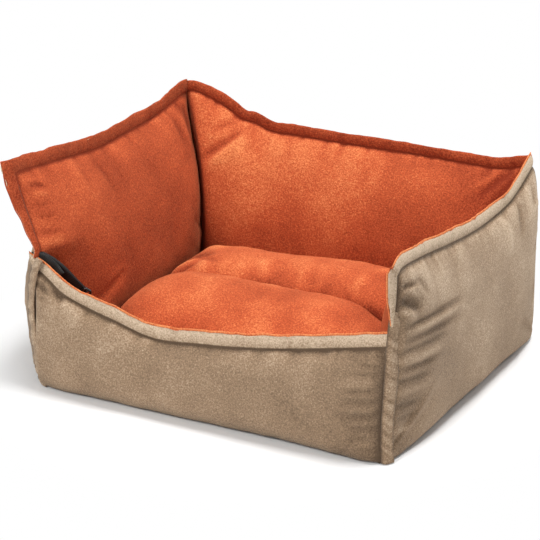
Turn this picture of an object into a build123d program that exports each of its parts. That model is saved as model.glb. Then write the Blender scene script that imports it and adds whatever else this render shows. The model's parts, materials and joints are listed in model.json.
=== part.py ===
from build123d import *

import os
from dataclasses import dataclass
from math import cos, radians, sin

# A walled pet bed with a thick loose cushion and a short tether in its front left corner.
# It stands on z = 0 with its length along X, its entrance towards -Y and its origin under
# the middle of the floor. Each wall is a pillow: an outer cover, an inner lining and a
# filling, sewn together along a seam that stands up as a flat flange. Sizes are millimetres.

# The whole bed, measured from seam to seam
bed_width = 600.0
bed_depth = 500.0
velour_thickness = 2.0
flange_width = 20.0
soft_gap = 0.25  # between a filling and its cover

# The floor, from the ground up
underside_thickness = 2.0
base_pad_thickness = 13.0
base_lining_thickness = 2.0
base_corner_radius = 8.0

# Heights of the seam along the top of each wall, at its middle and at the corners
left_wall_height = 300.0
back_wall_height = 260.0
right_wall_height = 256.0
front_wall_height = 118.0
front_left_height = 330.0
back_left_height = 308.0
back_right_height = 286.0
front_right_height = 272.0
front_wall_left_height = 180.0
front_wall_right_height = 175.0

# How far the pillows swell from their seam, and the height of their thickest part
inner_swell = 72.0
outer_swell = 22.0
swell_height = 98.0
front_inner_swell = 60.0
front_swell_height = 66.0

# Stations along a wall, and what each has of the swell and of the rise to the corner
station_shares = (-1.0, -0.88, -0.55, 0.0, 0.55, 0.88, 1.0)
open_swell_shares = (0.2, 0.55, 0.95, 1.0, 0.95, 0.55, 0.2)
front_swell_shares = (0.2, 0.42, 0.86, 1.0, 0.95, 0.55, 0.2)
right_swell_shares = (0.0, 0.26, 0.92, 1.0, 0.95, 0.55, 0.2)
left_swell_shares = (0.2, 0.55, 0.95, 1.0, 0.92, 0.26, 0.0)
front_outer_shares = (0.2, 0.55, 0.95, 1.0, 0.95, 0.55, 0.2)
right_outer_shares = (0.0, 0.5, 0.95, 1.0, 1.0, 0.9, 0.7)
back_outer_shares = (0.7, 0.9, 1.0, 1.0, 1.0, 0.9, 0.7)
left_outer_shares = (0.7, 0.9, 1.0, 1.0, 0.95, 0.5, 0.0)
rise_shares = (1.0, 0.5, 0.1, 0.0, 0.1, 0.5, 1.0)
front_rise_shares = (1.0, 0.78, 0.3, 0.0, 0.33, 0.76, 1.0)
quarter_turn = 90.0
back_seam_angle = 45.0
front_seam_angle = 34.0  # turned from the mitre, to lie along the tapering side walls
front_seam_gap = 3.0
foot_share = 0.62  # of the inner swell, where the pillow stands on the floor
foot_least = 1.0
toe_share = 0.2  # of the height, where the outer face turns in to the floor
shoulder_share = 0.3  # of the height, where the outer face turns in to the seam
tip_inset_share = 2.2  # of an inset, that the sharp top edge moves down

# Upright flanges at the front corners
corner_seam_gap = 3.0  # from the top of the front wall to the flange above it
corner_seam_thickness = 3.0
corner_seam_marks = ((4.0, -9.0), (8.0, 0.0), (8.0, 8.0), (-7.0, 20.0))  # out and on
end_flange_thickness = 3.0
end_flange_grip = 4.0
end_flange_round = 3.0
filling_end_gap = 14.0

# The loose cushion, its top and bottom covers sewn together along a seam round its sides
cushion_margin = 5.0  # between the cushion and the thickest part of the walls
cushion_floor_gap = 0.25
cushion_seam_height = 62.0
front_lobe_height = 138.0
back_lobe_height = 122.0
channel_height = 96.0
channel_place = 0.05  # of the half depth, behind the middle
channel_seam_width = 8.0
cushion_end_gap = 16.0
cushion_edge_grip = 2.4  # between the side edges of a cover's outer and inner faces
cushion_station_shares = (-1.0, -0.93, -0.6, 0.0, 0.6, 0.93, 1.0)
crown_shares = (0.05, 0.62, 0.97, 1.0, 0.97, 0.62, 0.05)
depth_shares = (0.82, 0.95, 1.0, 0.985, 1.0, 0.95, 0.82)
lobe_step_shares = ((0.12, 0.66), (0.52, 1.0), (0.86, 0.72))  # places across a lobe, and rises
belly_step_shares = ((-0.9, 0.72), (-0.5, 1.0), (0.0, 1.0), (0.5, 1.0), (0.9, 0.72))

# The tether: doubled webbing sewn to the front wall's flange, with a swivel snap hook
webbing_width = 25.0
webbing_thickness = 1.6
tab_length = 18.0
tab_gap = 0.6
tether_start = 18.0  # from the left wall's seam
tether_rise = 16.0  # from the end of the front wall's seam
tether_slope = 43.0
tether_turn = 18.0  # into the bed, at rest
strap_straight = 66.0
strap_bend_radius = 22.0
strap_bend = 8.0
strap_end = 9.0
tail_length = 40.0
tail_lift = 2.0
ring_wire = 2.0
ring_clearance = 0.35
ring_length = 12.0
ring_width = 34.0
ring_corner = 4.0
hub_radius = 5.0
hub_length = 5.5
stem_radius = 2.5
stem_gap = 0.1
head_radius = 4.0
head_length = 2.0
hook_gap = 0.3
collar_length = 4.0
collar_bury = 2.0
hook_length = 46.0
hook_width = 22.0
hook_thickness = 7.0
hook_rail = 5.0
hook_round = 1.2
fork_start = 9.4
fork_end = 16.0
fork_slot_width = 4.6
fork_depth = 6.5
nose_start = 31.0
nose_pocket = 34.5
nose_lip = 3.0
gate_bar = 2.2
gate_width = 4.0
gate_boss_width = 2.2
gate_boss_radius = 2.4
gate_end_gap = 0.4
pin_place = 12.5
pin_drop = 2.9  # from the hook's side to the pin
pin_radius = 1.0
pin_gap = 0.05
spring_wire = 0.25
spring_radius = 1.6
spring_turns = 2.0
spring_pitch = 0.65

half_width = bed_width / 2
half_depth = bed_depth / 2
floor_height = underside_thickness + base_pad_thickness + base_lining_thickness
front_corner_tops = {
    "left_wall": front_wall_left_height + flange_width,
    "right_wall": front_wall_right_height + flange_width,
}


def save(part, name):
    """Writes one named piece."""
    part.label = name
    export_step(part, f"parts/{name}.step")
    print(name, "solids", len(part.solids()), "volume", round(part.volume))


# Floor


def build_floor():
    """The stitched floor: a non-slip underside, a flat pad and a lining."""
    layers = (
        ("underside_panel", 0, underside_thickness),
        ("base_pad", underside_thickness, base_pad_thickness),
        ("base_lining", underside_thickness + base_pad_thickness, base_lining_thickness),
    )
    for name, height, thickness in layers:
        with BuildPart() as layer:
            with BuildSketch(Plane.XY.offset(height)):
                RectangleRounded(bed_width, bed_depth, base_corner_radius)
            extrude(amount=thickness)
        save(layer.part, name)


# Walls


@dataclass
class Wall:
    """One padded wall. Its run goes round the bed anticlockwise, seen from above."""

    name: str
    middle: Vector
    run: Vector
    inward: Vector
    half_run: float
    heights: tuple  # of the seam at the start, the middle and the end
    swell: float
    thickest: float
    swells: tuple
    outer_swells: tuple
    rises: tuple
    seam_angle: float
    seam_gap: float
    closed_ends: tuple  # -1 for the start and 1 for the end, where the pillow is sewn shut

    def corner_height(self, side):
        """The height of the top seam at one end."""
        return self.heights[0] if side < 0 else self.heights[-1]

    def seam_heights(self):
        """The height of the top seam at each station."""
        middle = self.heights[1]
        return [
            middle + rise * (self.corner_height(place) - middle)
            for place, rise in zip(station_shares, self.rises)
        ]

    def seam_plane(self):
        """The upright plane of the seams, with x along the run, y up and z out of the bed."""
        return Plane(origin=self.middle, x_dir=self.run, z_dir=-self.inward)

    def corner_plane(self, side, inset):
        """The upright plane of the corner seam at one end, moved into the wall by inset."""
        along = self.run * side
        turn = radians(self.seam_angle)
        facing = along * cos(turn) + self.inward * sin(turn)
        corner = self.middle + along * self.half_run
        return Plane(origin=corner - facing * (self.seam_gap + inset), z_dir=facing)

    def end_plane(self, side, inset):
        """The plane across the run at one end, moved into the wall by inset."""
        along = self.run * side
        return Plane(origin=self.middle + along * (self.half_run - inset), z_dir=along)


front_wall = Wall(
    "front_wall", Vector(0, -half_depth, 0), Vector(1, 0, 0), Vector(0, 1, 0), half_width,
    (front_wall_left_height, front_wall_height, front_wall_right_height),
    front_inner_swell, front_swell_height, front_swell_shares, front_outer_shares,
    front_rise_shares, front_seam_angle, front_seam_gap, (),
)
right_wall = Wall(
    "right_wall", Vector(half_width, 0, 0), Vector(0, 1, 0), Vector(-1, 0, 0), half_depth,
    (front_right_height, right_wall_height, back_right_height),
    inner_swell, swell_height, right_swell_shares, right_outer_shares,
    rise_shares, back_seam_angle, 0, (-1,),
)
back_wall = Wall(
    "back_wall", Vector(0, half_depth, 0), Vector(-1, 0, 0), Vector(0, -1, 0), half_width,
    (back_right_height, back_wall_height, back_left_height),
    inner_swell, swell_height, open_swell_shares, back_outer_shares,
    rise_shares, back_seam_angle, 0, (),
)
left_wall = Wall(
    "left_wall", Vector(-half_width, 0, 0), Vector(0, -1, 0), Vector(1, 0, 0), half_depth,
    (back_left_height, left_wall_height, front_left_height),
    inner_swell, swell_height, left_swell_shares, left_outer_shares,
    rise_shares, back_seam_angle, 0, (1,),
)


def outer_side_marks(outer, height, inset):
    """Tip, shoulder, toe and foot of a pillow's outer side, moved in by inset."""
    rise = height - floor_height
    return (
        (0, height - tip_inset_share * inset),
        (inset - outer, height - shoulder_share * rise),
        (inset - outer, floor_height + toe_share * rise),
        (0, floor_height + inset),
    )


def inner_side_marks(swell, height, thickest, inset):
    """Tip, thickest place and foot of a pillow's inner side, moved in by inset."""
    foot = max(foot_share * swell - inset, foot_least)
    return (
        (0, height - tip_inset_share * inset),
        (swell - inset, thickest),
        (foot, floor_height + inset),
    )


def roll_in(crest, top):
    """A quarter of an ellipse, upright at the thickest place and level at the seam."""
    EllipticalCenterArc(
        (top[0], crest[1]), crest[0] - top[0], top[1] - crest[1], 0, arc_size=quarter_turn
    )


def cover_outline(swell, outer, height, thickest):
    """The outer cloth of a wall across its run, with half of the flange over the seam."""
    _, shoulder, toe, foot = outer_side_marks(outer, height, 0)
    tip_in, shoulder_in, toe_in, foot_in = outer_side_marks(outer, height, velour_thickness)
    flange_top = height + flange_width
    leave = (-velour_thickness, height)
    with BuildLine() as outline:
        Polyline(tip_in, (0, flange_top), (-velour_thickness, flange_top), leave)
        TangentArc(shoulder, leave, tangent=(0, 1))
        Line(shoulder, toe)
        TangentArc(toe, foot, tangent=(0, -1))
        Line(foot, foot_in)
        TangentArc(toe_in, foot_in, tangent=(0, -1))
        Line(toe_in, shoulder_in)
        TangentArc(shoulder_in, tip_in, tangent=(0, 1))
    return outline.line


def lining_outline(swell, outer, height, thickest):
    """The inner cloth of a wall across its run, with half of the flange over the seam."""
    _, crest, foot = inner_side_marks(swell, height, thickest, 0)
    tip_in, crest_in, foot_in = inner_side_marks(swell, height, thickest, velour_thickness)
    flange_top = height + flange_width
    leave = (velour_thickness, height)
    with BuildLine() as outline:
        Polyline(tip_in, (0, flange_top), (velour_thickness, flange_top), leave)
        roll_in(crest, leave)
        TangentArc(crest, foot, tangent=(0, -1))
        Polyline(foot, (0, foot[1]), (0, foot_in[1]), foot_in)
        TangentArc(crest_in, foot_in, tangent=(0, -1))
        roll_in(crest_in, tip_in)
    return outline.line


def filling_outline(swell, outer, height, thickest):
    """The filling of a wall across its run, a little smaller than its cloth."""
    inset = velour_thickness + soft_gap
    tip, shoulder, toe, foot = outer_side_marks(outer, height, inset)
    _, crest, foot_in = inner_side_marks(swell, height, thickest, inset)
    with BuildLine() as outline:
        Line(foot, foot_in)
        TangentArc(crest, foot_in, tangent=(0, -1))
        roll_in(crest, tip)
        TangentArc(shoulder, tip, tangent=(0, 1))
        Line(shoulder, toe)
        TangentArc(toe, foot, tangent=(0, -1))
    return outline.line


def wall_layer(wall, outline, inset):
    """One layer of a wall, lofted through its stations and cut at its corner seams."""
    with BuildPart() as layer:
        shares = zip(station_shares, wall.swells, wall.outer_swells, wall.seam_heights())
        for place, swell_share, outer_share, height in shares:
            distance = place * wall.half_run
            if abs(place) == 1 and place not in wall.closed_ends:
                distance += place * outer_swell
            section_plane = Plane(
                origin=wall.middle + wall.run * distance, x_dir=wall.inward, z_dir=wall.run
            )
            swell = max(swell_share * wall.swell, 2 * velour_thickness)
            outer = max(outer_share * outer_swell, 2 * velour_thickness)
            with BuildSketch(section_plane):
                with BuildLine():
                    add(outline(swell, outer, height, wall.thickest))
                make_face()
        loft()
        for side in (-1, 1):
            if side not in wall.closed_ends:
                split(bisect_by=wall.corner_plane(side, inset), keep=Keep.BOTTOM)
            elif inset:
                split(bisect_by=wall.end_plane(side, filling_end_gap), keep=Keep.BOTTOM)
    return layer.part


def end_flange(wall, side, bottom, top, thickness):
    """The upright flange on the closed front end of a side wall."""
    reach = flange_width + end_flange_grip
    middle = side * (wall.half_run - end_flange_grip + reach / 2)
    with BuildPart() as strip:
        with BuildSketch(wall.seam_plane()):
            with Locations((middle, (bottom + top) / 2)):
                RectangleRounded(reach, top - bottom, end_flange_round)
        extrude(amount=thickness)
    return strip.part


def corner_seam(wall, side, bottom, top):
    """The upright flange that joins a side wall's cover to the front, outside the corner."""
    corner = wall.middle + wall.run * (side * wall.half_run)
    marks = []
    for out, on in corner_seam_marks:
        place = corner - wall.inward * out + wall.run * (side * on)
        marks.append((place.X, place.Y))
    with BuildPart() as strip:
        with BuildSketch(Plane.XY.offset(bottom)):
            with BuildLine():
                Polyline(*marks)
            trace(line_width=corner_seam_thickness)
        extrude(amount=top - bottom)
    return strip.part


def build_wall(wall):
    """A wall's cover, lining and filling. A side wall also carries its upright flanges."""
    cover_layer = wall_layer(wall, cover_outline, 0)
    lining_layer = wall_layer(wall, lining_outline, 0)
    front_top = front_corner_tops.get(wall.name, 0)
    flange_bottom = front_top + corner_seam_gap

    with BuildPart() as cover:
        add(cover_layer)
        for side in wall.closed_ends:
            flange_top = wall.corner_height(side) + flange_width
            add(end_flange(wall, side, flange_bottom, flange_top, end_flange_thickness))
            add(corner_seam(wall, side, floor_height, front_top))
    save(cover.part, f"{wall.name}_cover")

    with BuildPart() as lining:
        add(lining_layer)
        for side in wall.closed_ends:
            flange_top = wall.corner_height(side) + flange_width
            add(end_flange(wall, side, flange_bottom, flange_top, -end_flange_thickness))
    save(lining.part, f"{wall.name}_lining")

    filling = wall_layer(wall, filling_outline, velour_thickness + soft_gap)
    save(filling, f"{wall.name}_filling")


# Cushion

cushion_half_width = half_width - inner_swell - cushion_margin
cushion_front = front_inner_swell + cushion_margin - half_depth
cushion_back = half_depth - inner_swell - cushion_margin
cushion_middle = (cushion_front + cushion_back) / 2
cushion_half_depth = (cushion_back - cushion_front) / 2
cushion_bottom = floor_height + cushion_floor_gap
edge = cushion_seam_height


def top_points(crown, depth, inset):
    """Points over the cushion from front to back, inset below its outer face."""
    reach = cushion_half_depth * depth - cushion_edge_grip * inset / velour_thickness
    skin = velour_thickness - inset
    channel = cushion_middle + cushion_half_depth * channel_place
    front_rise = front_lobe_height - edge - velour_thickness
    back_rise = back_lobe_height - edge - velour_thickness
    channel_rise = channel_height - edge - velour_thickness
    points = [(cushion_middle - reach, edge)]
    for step, rise in lobe_step_shares:
        place = cushion_middle - reach + step * (channel - cushion_middle + reach)
        points.append((place, edge + skin + crown * rise * front_rise))
    points.append((channel, edge + skin + crown * channel_rise))
    for step, rise in reversed(lobe_step_shares):
        place = cushion_middle + reach - step * (cushion_middle + reach - channel)
        points.append((place, edge + skin + crown * rise * back_rise))
    points.append((cushion_middle + reach, edge))
    return points


def bottom_points(crown, depth, inset):
    """Points under the cushion from back to front, inset above its outer face."""
    reach = cushion_half_depth * depth - cushion_edge_grip * inset / velour_thickness
    skin = velour_thickness - inset
    fall = edge - velour_thickness - cushion_bottom
    points = [(cushion_middle + reach, edge)]
    for place, drop in reversed(belly_step_shares):
        points.append((cushion_middle + place * reach, edge - skin - crown * drop * fall))
    points.append((cushion_middle - reach, edge))
    return points


def top_cover_outline(crown, depth):
    """The cushion's upper cloth, cut from front to back."""
    outer = top_points(crown, depth, 0)
    inner = top_points(crown, depth, velour_thickness)
    with BuildLine() as outline:
        Spline(*outer)
        Spline(*inner)
        Line(outer[0], inner[0])
        Line(outer[-1], inner[-1])
    return outline.line


def bottom_cover_outline(crown, depth):
    """The cushion's lower cloth, cut from front to back."""
    outer = bottom_points(crown, depth, 0)
    inner = bottom_points(crown, depth, velour_thickness)
    with BuildLine() as outline:
        Spline(*outer)
        Spline(*inner)
        Line(outer[0], inner[0])
        Line(outer[-1], inner[-1])
    return outline.line


def filling_core_outline(crown, depth):
    """The inside of the cushion's cloth, cut from front to back."""
    inset = velour_thickness + soft_gap
    top = top_points(crown, depth, inset)
    bottom = bottom_points(crown, depth, inset)
    with BuildLine() as outline:
        Spline(*top)
        Spline(*bottom)
    return outline.line


def cushion_loft(outline):
    """A layer of the cushion, lofted through its stations from left to right."""
    with BuildPart() as layer:
        for place, crown, depth in zip(cushion_station_shares, crown_shares, depth_shares):
            section_plane = Plane(
                origin=(place * cushion_half_width, 0, 0), x_dir=(0, 1, 0), z_dir=(1, 0, 0)
            )
            with BuildSketch(section_plane):
                with BuildLine():
                    add(outline(crown, depth))
                make_face()
        loft()
    return layer.part


def build_cushion():
    """The cushion's two covers, and a filling on each side of its sewn channel."""
    save(cushion_loft(top_cover_outline), "cushion_top_cover")
    save(cushion_loft(bottom_cover_outline), "cushion_bottom_cover")
    core = cushion_loft(filling_core_outline)
    channel = cushion_middle + cushion_half_depth * channel_place
    inner_length = 2 * (cushion_half_width - cushion_end_gap)
    for side, name in ((-1, "cushion_front_filling"), (1, "cushion_back_filling")):
        start = channel + side * channel_seam_width / 2
        with BuildPart() as filling:
            add(core)
            with BuildSketch(Plane.XY):
                with Locations((0, start + side * half_depth / 2)):
                    Rectangle(inner_length, half_depth)
            extrude(amount=half_width, mode=Mode.INTERSECT)
        save(filling.part, name)


# Tether

flange_face = velour_thickness - half_depth
strap_thickness = 2 * webbing_thickness
slope = radians(tether_slope)
turn_in = radians(tether_turn)
tab_plane = Plane(
    origin=(tether_start - half_width, flange_face, front_wall_left_height + tether_rise),
    x_dir=(cos(slope), 0, -sin(slope)),
    z_dir=(sin(slope), 0, cos(slope)),
)
strap_plane = Plane(
    origin=tab_plane.from_local_coords(
        Vector(0, webbing_thickness + tab_gap + strap_thickness / 2, 0)
    ),
    x_dir=(cos(turn_in) * cos(slope), sin(turn_in), -cos(turn_in) * sin(slope)),
    z_dir=tab_plane.z_dir,
)
loop_radius = ring_wire + ring_clearance
bend = radians(strap_bend)
bend_start = (strap_straight, 0)
bend_centre = (strap_straight, strap_bend_radius)
bend_end = (
    strap_straight + strap_bend_radius * sin(bend),
    strap_bend_radius * (1 - cos(bend)),
)
loop_reach = strap_end + loop_radius + webbing_thickness / 2
loop_centre = (bend_end[0] + loop_reach * cos(bend), bend_end[1] + loop_reach * sin(bend))
hook_origin = strap_plane.from_local_coords(Vector(*loop_centre, 0))
hook_axis = (
    strap_plane.x_dir * cos(bend) + strap_plane.y_dir * sin(bend)
).normalized()
hook_plane = Plane(
    origin=hook_origin, x_dir=hook_axis, z_dir=hook_axis.cross(strap_plane.z_dir).normalized()
)
hub_start = ring_length - hub_length / 2
hub_end = ring_length + hub_length / 2
collar_start = hub_end + hook_gap
hook_start = collar_start + collar_length - collar_bury
rail_side = hook_width / 2
pin_level = rail_side - pin_drop
pin_mark = (hook_start + pin_place, pin_level)


def build_strap():
    """The sewn tab and the doubled webbing, with its loop and its loose cut end."""
    with BuildPart() as tab:
        with BuildSketch(tab_plane):
            Rectangle(tab_length, webbing_thickness, align=(Align.MIN, Align.MIN))
        extrude(amount=webbing_width / 2, both=True)
    save(tab.part, "tether_tab")

    with BuildPart() as strap:
        with BuildSketch(strap_plane.offset(-webbing_width / 2)):
            with BuildLine():
                Line((0, 0), bend_start)
                TangentArc(bend_start, bend_end, tangent=(1, 0))
                PolarLine(bend_end, strap_end, strap_bend)
            trace(line_width=strap_thickness)
            with BuildLine():
                Spline(
                    (strap_straight - tail_length, -webbing_thickness / 2),
                    (strap_straight - tail_length / 3, -webbing_thickness),
                    (strap_straight, -webbing_thickness - tail_lift),
                )
            trace(line_width=webbing_thickness)
            with Locations(loop_centre):
                Circle(loop_radius + webbing_thickness)
                Circle(loop_radius, mode=Mode.SUBTRACT)
        extrude(amount=webbing_width)
    save(strap.part, "tether_webbing")


def hook_turn(place, level=0):
    """The plane across the hook's axis at a place along it."""
    origin = hook_plane.from_local_coords(Vector(place, level, 0))
    return Plane(origin=origin, x_dir=hook_plane.y_dir, z_dir=hook_plane.x_dir)


def build_eye():
    """The wire ring in the webbing's loop, with the hub that the hook turns in."""
    half_ring = ring_width / 2
    corners = (
        (0, half_ring), (ring_length, half_ring), (ring_length, -half_ring), (0, -half_ring),
    )
    with BuildPart() as eye:
        with BuildLine(hook_plane) as path:
            FilletPolyline(*corners, radius=ring_corner, close=True)
        wire = path.wires()[0]
        with BuildSketch(Plane(origin=wire @ 0, z_dir=wire % 0)):
            Circle(ring_wire)
        sweep(path=wire)
        with BuildSketch(hook_turn(hub_start)):
            Circle(hub_radius)
        extrude(amount=hub_length)
        with BuildSketch(hook_turn(hub_start)):
            Circle(stem_radius + stem_gap)
        extrude(amount=hub_length, mode=Mode.SUBTRACT)
    save(eye.part, "swivel_eye")


def build_hook():
    """The snap hook's body: stem, collar, link, fork for the gate and nose."""
    link_middle = hook_start + hook_length / 2
    window = hook_width - 2 * hook_rail
    with BuildPart() as hook:
        with BuildSketch(hook_plane.offset(-hook_thickness / 2)):
            with Locations((link_middle, 0)):
                SlotOverall(hook_length, hook_width)
                SlotOverall(hook_length - 2 * hook_rail, window, mode=Mode.SUBTRACT)
        extrude(amount=hook_thickness)
        fillet(hook.edges(), radius=hook_round)
        with BuildSketch(hook_turn(collar_start)):
            Circle(hub_radius)
        extrude(amount=collar_length)
        with BuildSketch(hook_turn(hub_start - hook_gap)):
            Circle(stem_radius)
        extrude(amount=hub_length + 2 * hook_gap)
        with BuildSketch(hook_turn(hub_start - hook_gap - head_length)):
            Circle(head_radius)
        extrude(amount=head_length)
        with BuildSketch(hook_plane):
            with Locations((hook_start + fork_end, rail_side)):
                Rectangle(nose_start - fork_end, hook_rail * 2, align=(Align.MIN, Align.CENTER))
            with Locations((hook_start + fork_end, rail_side - nose_lip)):
                Rectangle(nose_pocket - fork_end, hook_rail, align=(Align.MIN, Align.MAX))
        extrude(amount=hook_thickness, both=True, mode=Mode.SUBTRACT)
        with BuildSketch(hook_plane):
            with Locations((hook_start + fork_start, rail_side)):
                Rectangle(fork_end - fork_start, 2 * fork_depth, align=(Align.MIN, Align.CENTER))
        extrude(amount=fork_slot_width / 2, both=True, mode=Mode.SUBTRACT)
        with BuildSketch(hook_plane):
            with Locations(pin_mark):
                Circle(pin_radius + pin_gap)
        extrude(amount=hook_thickness, both=True, mode=Mode.SUBTRACT)
    save(hook.part, "snap_hook")


def build_gate():
    """The hook's sprung gate with its pin and its coil."""
    gate_end = hook_start + nose_pocket - gate_end_gap
    gate_top = rail_side - nose_lip - gate_end_gap
    boss_face = fork_slot_width / 2 - hook_gap
    with BuildPart() as gate:
        with BuildSketch(hook_plane.offset(-boss_face)):
            with Locations(pin_mark):
                Circle(gate_boss_radius)
                Circle(pin_radius + pin_gap, mode=Mode.SUBTRACT)
        extrude(amount=gate_boss_width)
        with BuildSketch(hook_plane.offset(-boss_face)):
            with Locations((hook_start + pin_place + gate_boss_radius, gate_top)):
                Rectangle(
                    gate_end - hook_start - pin_place - gate_boss_radius, gate_bar,
                    align=(Align.MIN, Align.MAX),
                )
        extrude(amount=gate_width)
        with BuildSketch(hook_plane.offset(-boss_face)):
            with Locations((hook_start + pin_place + stem_radius / 2, gate_top)):
                Rectangle(gate_boss_radius, gate_bar, align=(Align.MIN, Align.MAX))
            with Locations(pin_mark):
                Circle(pin_radius + pin_gap, mode=Mode.SUBTRACT)
        extrude(amount=gate_boss_width)
    save(gate.part, "hook_gate")

    with BuildPart() as pin:
        with BuildSketch(hook_plane.offset(-hook_thickness / 2)):
            with Locations(pin_mark):
                Circle(pin_radius)
        extrude(amount=hook_thickness)
    save(pin.part, "gate_pin")

    coil_start = gate_boss_width - boss_face + 2 * spring_wire
    coil_origin = hook_plane.from_local_coords(Vector(*pin_mark, coil_start))
    with BuildPart() as coil:
        with BuildLine() as path:
            Helix(
                spring_pitch, spring_turns * spring_pitch, spring_radius,
                center=coil_origin, direction=hook_plane.z_dir,
            )
        turn = path.wires()[0]
        with BuildSketch(Plane(origin=turn @ 0, z_dir=turn % 0)):
            Circle(spring_wire)
        sweep(path=turn, is_frenet=True)
    save(coil.part, "gate_spring")


if __name__ == "__main__":
    os.makedirs("parts", exist_ok=True)
    build_floor()
    for each_wall in (front_wall, right_wall, back_wall, left_wall):
        build_wall(each_wall)
    build_cushion()
    build_strap()
    build_eye()
    build_hook()
    build_gate()
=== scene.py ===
import json
import math
import bmesh
import bpy
import numpy as np
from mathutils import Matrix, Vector, noise


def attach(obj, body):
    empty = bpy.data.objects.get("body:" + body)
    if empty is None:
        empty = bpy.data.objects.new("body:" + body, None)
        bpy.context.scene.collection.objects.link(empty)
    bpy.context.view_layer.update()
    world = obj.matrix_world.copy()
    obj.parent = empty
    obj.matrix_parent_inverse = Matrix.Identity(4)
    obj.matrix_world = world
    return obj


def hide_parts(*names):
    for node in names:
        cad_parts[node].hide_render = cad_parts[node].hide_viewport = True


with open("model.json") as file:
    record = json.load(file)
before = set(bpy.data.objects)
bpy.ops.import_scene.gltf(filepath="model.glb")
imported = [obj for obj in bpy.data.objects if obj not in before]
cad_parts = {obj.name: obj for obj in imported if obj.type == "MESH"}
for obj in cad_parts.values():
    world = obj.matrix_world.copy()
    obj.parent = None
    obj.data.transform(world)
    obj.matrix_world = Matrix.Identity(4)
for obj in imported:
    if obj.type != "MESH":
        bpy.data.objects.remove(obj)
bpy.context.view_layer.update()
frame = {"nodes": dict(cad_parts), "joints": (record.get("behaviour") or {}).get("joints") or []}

scene = bpy.context.scene
print("frame loaded")

# Places and sizes below are millimetres in the part's frame, made metres where a mesh is built


def through(marks, place):  # a smooth curve through (place, value) marks
    places, values = np.array(marks, float).T
    slopes = np.gradient(values, places)
    left = np.clip(np.searchsorted(places, place) - 1, 0, len(places) - 2)
    span = places[left + 1] - places[left]
    t = np.clip((place - places[left]) / span, 0, 1)
    return ((1 + 2 * t) * (1 - t) ** 2 * values[left] + t * (1 - t) ** 2 * span * slopes[left]
            + t * t * (3 - 2 * t) * values[left + 1] - t * t * (1 - t) * span * slopes[left + 1])


def ease(value, low, high):  # 0 below low, 1 above high, smooth between
    t = np.clip((value - low) / (high - low), 0, 1)
    return t * t * (3 - 2 * t)


def ripple(place, pitch, seed):  # an even but irregular wave from -1 to 1
    knots = np.random.default_rng(seed).uniform(-1, 1, 400)
    at = np.asarray(place, float) / pitch + 180
    first = np.floor(at).astype(int)
    t = at - first
    t = t * t * (3 - 2 * t)
    return knots[first % 400] * (1 - t) + knots[(first + 1) % 400] * t


def cloudy(points, size, seed):  # soft 3-D noise at each point of a grid
    flat = points.reshape(-1, 3) / size + seed * 7.3
    return np.array([noise.noise(Vector(p)) for p in flat]).reshape(points.shape[:-1])


def gridNormals(points):
    along = np.gradient(points, axis=1)
    up = np.gradient(points, axis=0)
    normal = np.cross(along, up)
    return normal / np.maximum(np.linalg.norm(normal, axis=-1, keepdims=True), 1e-9)


def finer(points):  # halves the spacing of a grid along smooth curves
    for axis in (0, 1):
        rows = np.moveaxis(points, axis, 0)
        ends = np.concatenate([2 * rows[:1] - rows[1:2], rows, 2 * rows[-1:] - rows[-2:-1]])
        middles = (9 * (ends[1:-2] + ends[2:-1]) - ends[:-3] - ends[3:]) / 16
        made = np.empty((2 * len(rows) - 1, *rows.shape[1:]))
        made[::2], made[1::2] = rows, middles
        points = np.moveaxis(made, 0, axis)
    return points


def addGrid(bm, points):  # a grid of faces whose corners are the given rows of points
    rows, columns = points.shape[:2]
    made = bmesh.ops.create_grid(bm, x_segments=columns - 1, y_segments=rows - 1, size=0.5)
    for vertex, place in zip(made["verts"], points.reshape(-1, 3)):
        vertex.co = place * 0.001
    bm.verts.index_update()
    return made["verts"]


def meshObject(bm, name):
    mesh = bpy.data.meshes.new(name)
    bm.to_mesh(mesh)
    bm.free()
    made = bpy.data.objects.new(name, mesh)
    scene.collection.objects.link(made)
    return made


def finish(bm, name, body, material, thickness=0.0, offset=-1.0, smooth=True):
    bm.normal_update()
    piece = meshObject(bm, name)
    mesh = piece.data
    mesh.polygons.foreach_set("use_smooth", [smooth] * len(mesh.polygons))
    mesh.materials.append(material)
    if thickness:
        wall = piece.modifiers.new("clothThickness", "SOLIDIFY")
        wall.thickness = thickness * 0.001
        wall.offset = offset
        wall.use_even_offset = False
    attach(piece, body)
    return piece


# Materials


def colour(code):  # sRGB hex to linear
    parts = [int(code[i:i + 2], 16) / 255 for i in (1, 3, 5)]
    return [p / 12.92 if p <= 0.04045 else ((p + 0.055) / 1.055) ** 2.4 for p in parts] + [1.0]


def addNode(tree, kind, links=(), **settings):  # links are (input, source socket or value)
    made = tree.nodes.new("ShaderNode" + kind)
    for key, value in settings.items():
        setattr(made, key, value)
    for socket, source in links:
        if isinstance(source, bpy.types.NodeSocket):
            tree.links.new(source, made.inputs[socket])
        else:
            made.inputs[socket].default_value = source
    return made


def addMath(tree, operation, *sources):
    return addNode(tree, "Math", enumerate(sources), operation=operation).outputs[0]


def addNoise(tree, place, size, detail, **inputs):  # size is that of its clumps
    links = [("Vector", place), ("Scale", 1000 / size), ("Detail", detail), *inputs.items()]
    return addNode(tree, "TexNoise", links).outputs["Fac"]


def addBump(tree, shader, height, strength, distance):
    bump = addNode(tree, "Bump", [
        ("Height", height), ("Strength", strength), ("Distance", distance)])
    tree.links.new(bump.outputs[0], shader.inputs["Normal"])


def newMaterial(name, constants):  # constants are set on the shader's own sockets
    material = bpy.data.materials.new(name)
    material.use_nodes = True
    tree = material.node_tree
    shader = tree.nodes["Principled BSDF"]
    for socket, value in constants.items():
        shader.inputs[socket].default_value = value
    return material, tree, shader


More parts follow.
